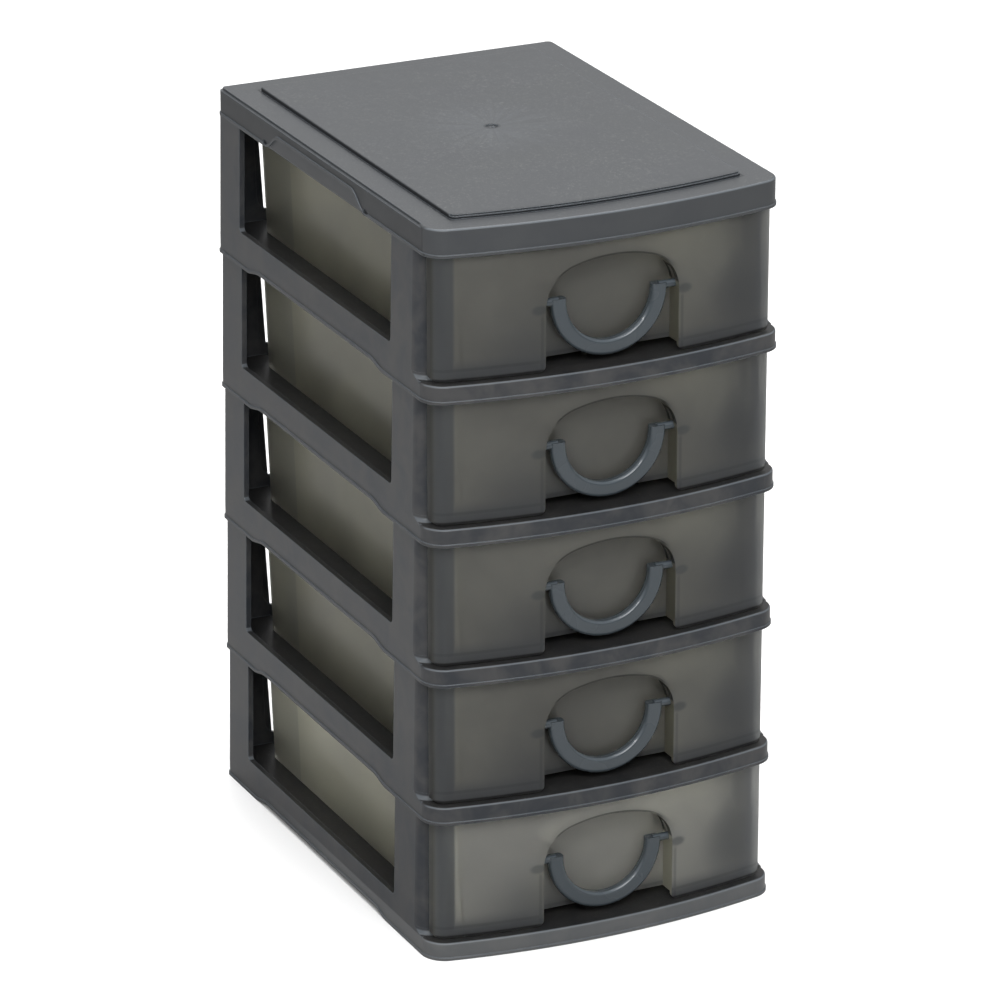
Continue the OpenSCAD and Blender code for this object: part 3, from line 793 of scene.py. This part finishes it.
@dataclass(frozen=True)
class FrostedPlastic:
    """See-through smoke plastic with a frosted inside."""

    name: str
    colour: Colour
    cloud_colour: Colour
    margin_shade_colour: Colour = (0.25, 0.27, 0.295)
    painted_shade_colour: Colour = (0.18, 0.195, 0.22)
    aside_tint: Colour = (1.0, 0.99, 0.88)
    line_shade_colour: Colour = (0.12, 0.13, 0.15)
    pin_shade_colour: Colour = (0.15, 0.18, 0.21)
    return_shade_colour: Colour = (0.06, 0.065, 0.075)
    highlight_and_mark_colour: Colour = (0.4, 0.41, 0.38)
    gap_shade_colour: Colour = (0.02, 0.02, 0.02)
    dust_and_top_light_colour: Colour = (0.4, 0.4, 0.38)
    shade_patch_share: float = 0.82
    rear_shade_share: float = 0.3
    margin_shade_share: float = 0.92
    line_shade_share: float = 0.4
    pin_shade_share: float = 0.6
    return_shade_share: float = 0.85
    highlight_share: float = 0.35
    arch_shade_share: float = 0.8
    gap_shade_share: float = 0.9
    roughness: float = 0.48
    smoother: float = 0.04
    rougher: float = 0.05
    transmission: float = 0.91
    coat: float = 0.2
    coat_roughness: float = 0.15
    ior: float = 1.25
    grain: float = 0.0009
    grain_lift: float = 0.00002
    patch_size: float = 0.05
    edge_radius: float = 0.0005
    dust: float = 0.2
    ring_pitch: float = 0.06
    ring_radius: float = 0.004
    ring_depth: float = 0.0002

    def mark_front(self, look: Look, edge: dict[str, Socket]) -> None:
        """Adds the painted shade of a drawer's front: its patches, margins, lines and dark gaps.

        Args:
            look: The material.
            edge: The outputs of its edge effect.
        """
        s = look.sheet
        zones = look.use(Group.ZONES)
        marks = look.use(Group.RECESS)
        # Painted shade on the front's patches.
        look.tint(zones["ShadePatch"], self.shade_patch_share, self.painted_shade_colour)
        look.tint(zones["Aside"], 1.0, self.aside_tint, "MULTIPLY")
        # Painted shade over the rear of the sides.
        look.tint(zones["Rear Band"], self.rear_shade_share, self.painted_shade_colour)
        # Painted shade on the front's margins.
        look.tint(zones["Margin"], self.margin_shade_share, self.margin_shade_colour)
        # Painted shade of the tub's floor, the recess's wall and the pins' ends, seen through the
        # front.
        lines = s.most(zones["Floor Line"], marks["Wall"])
        look.tint(lines, self.line_shade_share, self.line_shade_colour)
        look.tint(marks["Pin"], self.pin_shade_share, self.pin_shade_colour)
        # Painted shade on the side return, beside the post.
        look.tint(zones["Return"], self.return_shade_share, self.return_shade_colour)
        # Painted highlight along the edges.
        look.tint(edge["Mask"], self.highlight_share, self.highlight_and_mark_colour)
        # Painted shade in the gap under the front, in the pins' slots and over the arch.
        arch = s.times(marks["Line"], self.arch_shade_share)
        gaps = s.most(zones["Foot Line"], marks["Slot"], arch)
        look.tint(gaps, self.gap_shade_share, self.gap_shade_colour)

    def make(self) -> bpy.types.Material:
        """Builds the material.

        Returns:
            The material.
        """
        look = Look(self.name)
        grain = look.use(Group.GRAIN, Grain_Size=self.grain, Patch_Size=self.patch_size)
        edge = look.use(Group.EDGE, Radius=self.edge_radius)
        dust = look.use(Group.DUST, Amount=self.dust)
        ring = look.use(Group.RING, Pitch=self.ring_pitch, Radius=self.ring_radius)
        look.start(grain["Patch"], self.colour, self.cloud_colour)
        self.mark_front(look, edge)
        # Settled dust, and painted top light on faces that look up.
        look.tint(dust["Film"], 1.0, self.dust_and_top_light_colour)
        look.lift(grain["Height"], self.grain_lift)
        look.lift(ring["Mask"], -self.ring_depth)
        rough = look.sheet.spread(grain["Patch"], 0.0, 1.0, self.roughness - self.smoother,
                                  self.roughness + self.rougher)
        look.shader.inputs["Transmission Weight"].default_value = self.transmission
        look.shader.inputs["Coat Weight"].default_value = self.coat
        look.shader.inputs["Coat Roughness"].default_value = self.coat_roughness
        look.shader.inputs["IOR"].default_value = self.ior
        return look.finish(rough, edge["Normal"])


@dataclass(frozen=True)
class PaleFloor:
    """The plain floor's finish."""

    name: str = "pale_floor"
    colour: Colour = (0.9, 0.9, 0.9)
    patch_share: float = 0.985
    bounce: float = 0.50
    roughness: float = 0.9
    specular: float = 0.1

    def scaled(self, share: float) -> tuple[float, float, float, float]:
        """Gives the floor's colour, darkened to a share."""
        return (*(part * share for part in self.colour), 1)

    def make(self) -> bpy.types.Material:
        """Builds the material, which throws back less light than the eye sees in it.

        Returns:
            The material.
        """
        look = Look(self.name)
        s = look.sheet
        grain = look.use(Group.GRAIN, Grain_Size=0.004, Patch_Size=0.4)
        seen = s.blend(grain["Patch"], self.scaled(1.0), self.scaled(self.patch_share))
        direct = s.add("ShaderNodeLightPath").outputs["Is Camera Ray"]
        s.feed(look.shader.inputs["Base Color"], s.blend(direct, self.scaled(self.bounce), seen))
        look.shader.inputs["Roughness"].default_value = self.roughness
        look.shader.inputs["Specular IOR Level"].default_value = self.specular
        return look.material


# ---------------------------------------------------------------- pieces


def dress(node: str, material: bpy.types.Material) -> None:
    """Gives a CAD node its finish.

    Args:
        node: The node's name.
        material: The finish.
    """
    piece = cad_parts[node]
    for slot in piece.material_slots:
        slot.material = material
    LOG.info("%s dressed in %s", node, material.name)


def clear_selection() -> None:
    """Leaves edit mode and selects nothing."""
    if bpy.context.mode != "OBJECT":
        bpy.ops.object.mode_set(mode="OBJECT")
    bpy.ops.object.select_all(action="DESELECT")


def edit_all() -> None:
    """Opens the active piece in edit mode with everything selected."""
    bpy.ops.object.mode_set(mode="EDIT")
    bpy.ops.mesh.select_all(action="SELECT")


def finish_piece(piece: bpy.types.Object, name: str, body: str,
                 material: bpy.types.Material, soften: float = 0.0) -> None:
    """Rounds a new piece's edges, settles its place in its mesh and lets it ride.

    Args:
        piece: The piece.
        name: Its name.
        body: The CAD body it moves with.
        material: Its material.
        soften: Radius of its edges, or 0 to leave them as they are.
    """
    piece.name = name
    if soften > 0.0:
        bevel = piece.modifiers.new("soften", "BEVEL")
        bevel.width = soften
        bevel.segments = BEVEL_STEPS
        bevel.limit_method = "ANGLE"
        bpy.ops.object.modifier_apply(modifier=bevel.name)
    bpy.ops.object.transform_apply(location=True, rotation=True, scale=True)
    edit_all()
    bpy.ops.mesh.remove_doubles(threshold=MERGE_DISTANCE)
    bpy.ops.mesh.normals_make_consistent(inside=False)
    bpy.ops.object.mode_set(mode="OBJECT")
    bpy.ops.object.shade_smooth_by_angle(angle=SMOOTH_ANGLE)
    piece.data.materials.clear()
    piece.data.materials.append(material)
    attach(piece, body)
    LOG.info("%s modelled, %d faces", name, len(piece.data.polygons))
    clear_selection()


def copy_up(first: bpy.types.Object, name: str, number: int) -> bpy.types.Object:
    """Copies a piece of the lowest tier, with a mesh of its own, to a tier.

    Args:
        first: The piece.
        name: The copy's name.
        number: The tier's number, counted from the foot.

    Returns:
        The copy.
    """
    piece = bpy.data.objects.new(name, first.data.copy())
    bpy.context.scene.collection.objects.link(piece)
    piece.data.transform(Matrix.Translation((0.0, 0.0, (number - 1) * TIER_PITCH)))
    LOG.info("%s copied", name)
    return piece


@dataclass
class Lid:
    """The lid with its raised panel, and the stub of the gate in its dimple."""

    gate: Point = (0.0, 0.00625, 0.359)
    stub_radius: float = 0.0009
    stub_taper: float = 0.7
    stub_height: float = 0.00042
    stub_root: float = 0.0004
    stub_shift: tuple[float, float] = (0.0004, -0.0003)
    stub_steps: int = 20
    stub_edge: float = 0.0001
    break_height: float = 0.8
    break_normal: Point = (0.25, 0.1, 1.0)

    def build_stub(self, finish: bpy.types.Material) -> None:
        """Models the broken-off stub of the gate, with its slanted top.

        Args:
            finish: The lid's finish.
        """
        clear_selection()
        x, y, z = self.gate
        middle = (x + self.stub_shift[0], y + self.stub_shift[1],
                  z + (self.stub_height - self.stub_root) / 2)
        bpy.ops.mesh.primitive_cone_add(vertices=self.stub_steps, radius1=self.stub_radius,
                                        radius2=self.stub_radius * self.stub_taper,
                                        depth=self.stub_height + self.stub_root, location=middle)
        piece = bpy.context.active_object
        edit_all()
        bpy.ops.mesh.bisect(plane_co=(x, y, z + self.stub_height * self.break_height),
                            plane_no=self.break_normal, use_fill=True, clear_outer=True)
        bpy.ops.object.mode_set(mode="OBJECT")
        finish_piece(piece, "lid_gate_stub", "frame", finish, self.stub_edge)

    def dress(self, finish: bpy.types.Material) -> None:
        """Gives the lid its finish and its gate stub."""
        dress("lid", finish)
        self.build_stub(finish)


@dataclass
class Tier:
    """One tier of the frame, with the slanted webs in the lower corners of its back opening."""

    number: int
    web_foot: float = 0.0172
    web_top: float = 0.0688
    web_in_foot: float = 0.0659
    web_in_top: float = 0.0691
    web_out: float = 0.0732
    web_y: tuple[float, float] = (0.1230, 0.1242)
    web_root: float = 0.0008
    web_edge: float = 0.0003

    def web_name(self, right: bool) -> str:
        """Names the right or the left web."""
        return f"tier_{self.number}_{'right' if right else 'left'}_web"

    def build_web(self, finish: bpy.types.Material) -> bpy.types.Object:
        """Models the lowest tier's right web as a thin plate cut slanting along its free edge.

        Args:
            finish: The tier's finish.

        Returns:
            The web.
        """
        clear_selection()
        rise, run = self.web_top - self.web_foot, self.web_in_top - self.web_in_foot
        size = (self.web_out - self.web_in_foot, self.web_y[1] - self.web_y[0],
                rise + self.web_root)
        middle = ((self.web_out + self.web_in_foot) / 2, sum(self.web_y) / 2,
                  self.web_foot - self.web_root + size[2] / 2)
        bpy.ops.mesh.primitive_cube_add(size=1.0, location=middle, scale=size)
        piece = bpy.context.active_object
        edit_all()
        bpy.ops.mesh.bisect(plane_co=(self.web_in_foot, middle[1], self.web_foot),
                            plane_no=(-rise, 0.0, run), use_fill=True, clear_outer=True)
        bpy.ops.object.mode_set(mode="OBJECT")
        finish_piece(piece, self.web_name(True), "frame", finish, self.web_edge)
        return piece

    def copy_web(self, first: bpy.types.Object, right: bool) -> None:
        """Copies the lowest tier's right web to this tier, mirrored for the left side.

        Args:
            first: The lowest tier's right web.
            right: Whether the copy is a right one.
        """
        piece = copy_up(first, self.web_name(right), self.number)
        if not right:
            piece.data.transform(Matrix.Scale(-1.0, 4, (1.0, 0.0, 0.0)))
            piece.data.flip_normals()
        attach(piece, "frame")

    def dress(self, finish: bpy.types.Material, first: bpy.types.Object | None) -> bpy.types.Object:
        """Gives the tier its finish and its webs.

        Args:
            finish: The finish.
            first: The lowest tier's right web, or nothing where this is the lowest tier.

        Returns:
            The lowest tier's right web.
        """
        dress(f"tier_{self.number}", finish)
        if first is None:
            first = self.build_web(finish)
        else:
            self.copy_web(first, True)
        self.copy_web(first, False)
        return first


@dataclass
class Drawer:
    """One drawer, its tub open up to the rim, with the bail handle in its recess."""

    number: int
    mouth_half: float = 0.07293
    mouth_y: tuple[float, float] = (-0.002, 0.10923)
    mouth_z: tuple[float, float] = (0.0663, 0.0678)
    mouth_corner: float = 0.00637
    mouth_steps: int = 8

    def build_mouth(self) -> bpy.types.Object:
        """Models the block that opens the tub's rear half, with rounded back corners.

        Returns:
            The block.
        """
        clear_selection()
        middle = (0.0, sum(self.mouth_y) / 2, sum(self.mouth_z) / 2)
        size = (2 * self.mouth_half, self.mouth_y[1] - self.mouth_y[0],
                self.mouth_z[1] - self.mouth_z[0])
        bpy.ops.mesh.primitive_cube_add(size=1.0, location=middle, scale=size)
        block = bpy.context.active_object
        bpy.ops.object.transform_apply(location=True, rotation=True, scale=True)
        bpy.ops.object.mode_set(mode="EDIT")
        bpy.ops.mesh.select_mode(type="EDGE")
        bpy.ops.mesh.select_all(action="DESELECT")
        bpy.ops.object.mode_set(mode="OBJECT")
        for edge in block.data.edges:
            a, b = (block.data.vertices[v].co for v in edge.vertices)
            edge.select = min(a.y, b.y) > middle[1] and abs(a.z - b.z) > size[2] / 2
        bpy.ops.object.mode_set(mode="EDIT")
        bpy.ops.mesh.bevel(offset=self.mouth_corner, segments=self.mouth_steps)
        bpy.ops.mesh.select_all(action="SELECT")
        bpy.ops.mesh.normals_make_consistent(inside=False)
        bpy.ops.mesh.select_mode(type="VERT")
        clear_selection()
        return block

    def build_tub(self, finish: bpy.types.Material) -> bpy.types.Object:
        """Copies the lowest drawer's solid and opens its rear half up to the rim.

        Args:
            finish: The drawer's finish.

        Returns:
            The tub.
        """
        mouth = self.build_mouth()
        piece = bpy.data.objects.new("tub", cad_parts[f"drawer_{self.number}"].data.copy())
        bpy.context.scene.collection.objects.link(piece)
        piece.select_set(True)
        bpy.context.view_layer.objects.active = piece
        edit_all()
        bpy.ops.mesh.remove_doubles(threshold=MERGE_DISTANCE)
        bpy.ops.object.mode_set(mode="OBJECT")
        bpy.ops.mesh.customdata_custom_splitnormals_clear()
        opening = piece.modifiers.new("mouth", "BOOLEAN")
        opening.operation = "DIFFERENCE"
        opening.solver = "EXACT"
        opening.object = mouth
        bpy.ops.object.modifier_apply(modifier=opening.name)
        bpy.data.objects.remove(mouth, do_unlink=True)
        finish_piece(piece, f"drawer_{self.number}_tub", f"drawer_body_{self.number}",
                     finish)
        return piece

    def copy_tub(self, first: bpy.types.Object, finish: bpy.types.Material) -> None:
        """Copies the lowest drawer's tub to this drawer's place.

        Args:
            first: The lowest drawer's tub.
            finish: The drawer's finish.
        """
        piece = copy_up(first, f"drawer_{self.number}_tub", self.number)
        piece.data.materials[0] = finish
        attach(piece, f"drawer_body_{self.number}")
        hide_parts(f"drawer_{self.number}")

    def dress(self, finish: bpy.types.Material, bail: bpy.types.Material,
              first: bpy.types.Object | None) -> bpy.types.Object:
        """Gives the drawer its open tub and the handle its finish.

        Args:
            finish: The drawer's finish.
            bail: The handle's finish.
            first: The lowest drawer's tub, or nothing where this is the lowest drawer.

        Returns:
            The lowest drawer's tub.
        """
        dress(f"drawer_{self.number}", finish)
        dress(f"handle_{self.number}", bail)
        if first is None:
            first = self.build_tub(finish)
            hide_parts(f"drawer_{self.number}")
        else:
            self.copy_tub(first, finish)
        return first


# ---------------------------------------------------------------- studio


@dataclass
class Camera:
    """The camera, looking down on the front and the left side."""

    yaw: float = -25.6501
    pitch: float = 21.370
    roll: float = 0.0321
    distance: float = 2.73954
    across: float = 0.0011271
    height: float = 0.174737
    lens: float = 207.1138
    sensor: float = 36.0
    sight: float = 60.0

    def build(self) -> None:
        """Adds the camera and makes it the scene's."""
        a, e = math.radians(self.yaw), math.radians(self.pitch)
        back = Vector((math.sin(a) * math.cos(e), -math.cos(a) * math.cos(e), math.sin(e)))
        right = Vector((math.cos(a), math.sin(a), 0.0))
        up = back.cross(right)
        level = Matrix((right, up, back)).transposed()
        turn = level @ Matrix.Rotation(math.radians(self.roll), 3, "Z")
        place = right * self.across + Vector((0.0, 0.0, self.height)) + back * self.distance
        data = bpy.data.cameras.new("camera")
        data.sensor_width = self.sensor
        data.lens = self.lens
        data.clip_end = self.sight
        holder = bpy.data.objects.new("camera", data)
        holder.matrix_world = Matrix.Translation(place) @ turn.to_4x4()
        bpy.context.scene.collection.objects.link(holder)
        bpy.context.scene.camera = holder


@dataclass(frozen=True)
class Lamp:
    """A square soft lamp that the camera doesn't see."""

    name: str
    place: Point
    size: float
    power: float

    def build(self, aim_height: float) -> None:
        """Adds the lamp, turned towards the tower.

        Args:
            aim_height: The height that it looks at, or its own where it hangs lower.
        """
        data = bpy.data.lights.new(self.name, "AREA")
        data.shape = "SQUARE"
        data.size = self.size
        data.energy = self.power
        lamp = bpy.data.objects.new(self.name, data)
        lamp.location = self.place
        aim = Vector((0.0, 0.0, min(aim_height, self.place[2])))
        lamp.rotation_euler = (aim - Vector(self.place)).to_track_quat("-Z", "Y").to_euler()
        lamp.visible_camera = False
        bpy.context.scene.collection.objects.link(lamp)


LAMPS = (
    Lamp("top_softbox", (0.3, 0.3, 2.6), 2.2, 92.0),
    Lamp("key_softbox", (-0.4, -1.95, 1.85), 1.4, 46.0),
    Lamp("back_softbox", (1.3, 2.7, 1.6), 2.0, 5.0),
    Lamp("spark_softbox", (-1.15, -1.1, 1.4), 0.26, 9.0),
    Lamp("side_card", (-1.1, 0.15, 0.35), 0.8, 0.9),
)


@dataclass
class Studio:
    """The floor and the soft light."""

    floor_size: float = 14.0
    floor_drop: float = 0.00005
    sky: float = 0.34
    aim_height: float = 0.18

    def build_floor(self) -> None:
        """Adds the plain floor."""
        clear_selection()
        bpy.ops.mesh.primitive_plane_add(size=self.floor_size,
                                         location=(0.0, 0.0, -self.floor_drop))
        floor = bpy.context.active_object
        floor.name = "floor"
        bpy.ops.object.transform_apply(location=True)
        floor.data.materials.append(PaleFloor().make())

    def build_sky(self) -> None:
        """Adds the sky, white to the eye and dimmer as a light."""
        world = bpy.data.worlds.new("studio")
        world.use_nodes = True
        s = Sheet(world.node_tree)
        direct = s.add("ShaderNodeLightPath").outputs["Is Camera Ray"]
        strength = s.spread(direct, 0.0, 1.0, self.sky, 1.0, False)
        shade = s.add("ShaderNodeBackground", {"Color": (1.0, 1.0, 1.0, 1.0), "Strength": strength})
        s.feed(s.add("ShaderNodeOutputWorld").inputs["Surface"], shade.outputs[0])
        bpy.context.scene.world = world
        bpy.context.scene.view_settings.view_transform = "Standard"

    def build(self) -> None:
        """Adds the floor, the lamps and the sky."""
        self.build_floor()
        for lamp in LAMPS:
            lamp.build(self.aim_height)
        self.build_sky()


def main() -> None:
    """Builds the looks of the whole tower."""
    logging.basicConfig(level=logging.INFO, format="%(name)s: %(message)s")
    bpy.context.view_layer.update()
    make_groups()
    lid = Lid()
    shell = MouldedPlastic("frame_shell", (0.028, 0.031, 0.036), (0.055, 0.055, 0.056),
                           (0.16, 0.18, 0.20), patch_size=0.016, tier_marks=True).make()
    # The lid is the frame's plastic, given a paler colour and a heavier dust film as painted top
    # light for its bright top.
    top = MouldedPlastic("lid_shell", (0.046, 0.049, 0.053), (0.053, 0.056, 0.059),
                         (0.16, 0.18, 0.20), dust=0.32, gate=lid.gate).make()
    frosted = FrostedPlastic("drawer_frosted", (0.45, 0.445, 0.41), (0.55, 0.545, 0.50)).make()
    # The lowest drawer takes a paler copy of the same frosted plastic: painted light of the floor's
    # bounce.
    bounce_lit_frosted = FrostedPlastic("drawer_frosted_bounce_lit", (0.79, 0.785, 0.745),
                             (0.85, 0.845, 0.80)).make()
    bail = MouldedPlastic("bail_plastic", (0.036, 0.046, 0.054), (0.042, 0.052, 0.060),
                          (0.13, 0.15, 0.17), roughness=0.24, edge_radius=0.0003, dust=0.05,
                          coat=0.6, parting=((0.0, 1.0, 0.0), -0.114875)).make()
    lid.dress(top)
    web = tub = None
    for number in range(1, TIERS + 1):
        web = Tier(number).dress(shell, web)
        tub = Drawer(number).dress(bounce_lit_frosted if number == 1 else frosted, bail, tub)
    Studio().build()
    Camera().build()


if __name__ == "__main__":
    main()
